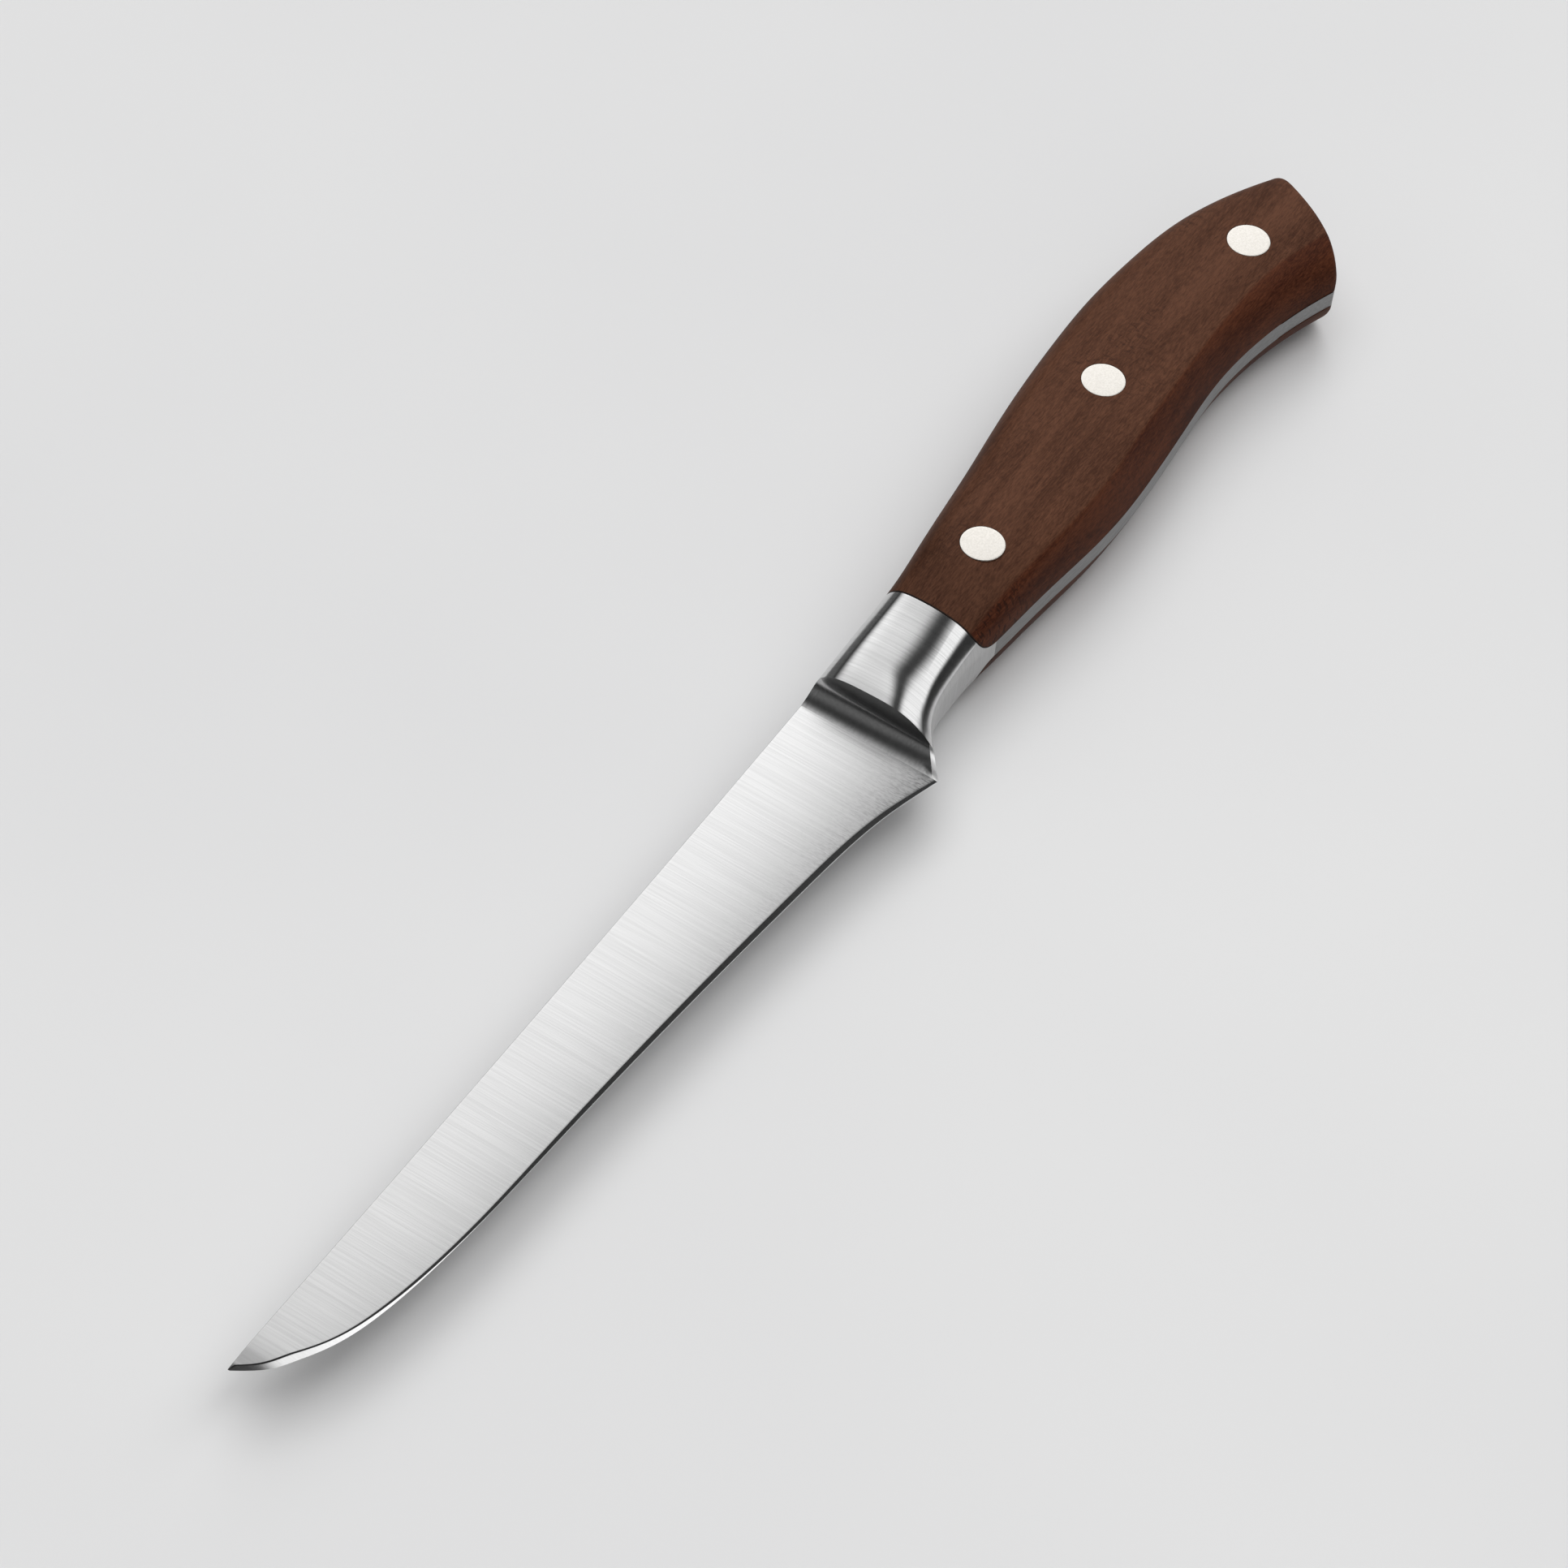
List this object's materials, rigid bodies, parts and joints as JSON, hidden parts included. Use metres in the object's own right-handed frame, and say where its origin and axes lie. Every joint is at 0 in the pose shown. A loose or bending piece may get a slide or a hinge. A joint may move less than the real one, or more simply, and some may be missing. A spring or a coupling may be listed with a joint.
{
  "type": "boning knife",
  "caption": "Forged full-tang boning knife lying on its side: slim pointed blade, scooped steel bolster, faceted curved wooden grip held by flush rivets.",
  "frame": {"origin": "middle of the footprint of the knife lying on its flat side, on the surface it rests on", "axes": "+X from the tip to the butt, +Y from the cutting edge up to the spine, +Z away from the resting surface, through the thickness"},
  "size_m": [0.2864, 0.0308, 0.0188],
  "materials": {
    "forged_steel": "satin ground",
    "scale_wood": "oiled dark brown",
    "rivet_metal": "ground flush, bright"
  },
  "bodies": {
    "root": {"blade_bolster_and_tang": "forged_steel", "upper_scale": "scale_wood", "lower_scale": "scale_wood", "front_rivet_socket": "rivet_metal", "middle_rivet_socket": "rivet_metal", "rear_rivet_socket": "rivet_metal", "front_rivet_pin": "rivet_metal", "middle_rivet_pin": "rivet_metal", "rear_rivet_pin": "rivet_metal"}
  },
  "joints": []
}
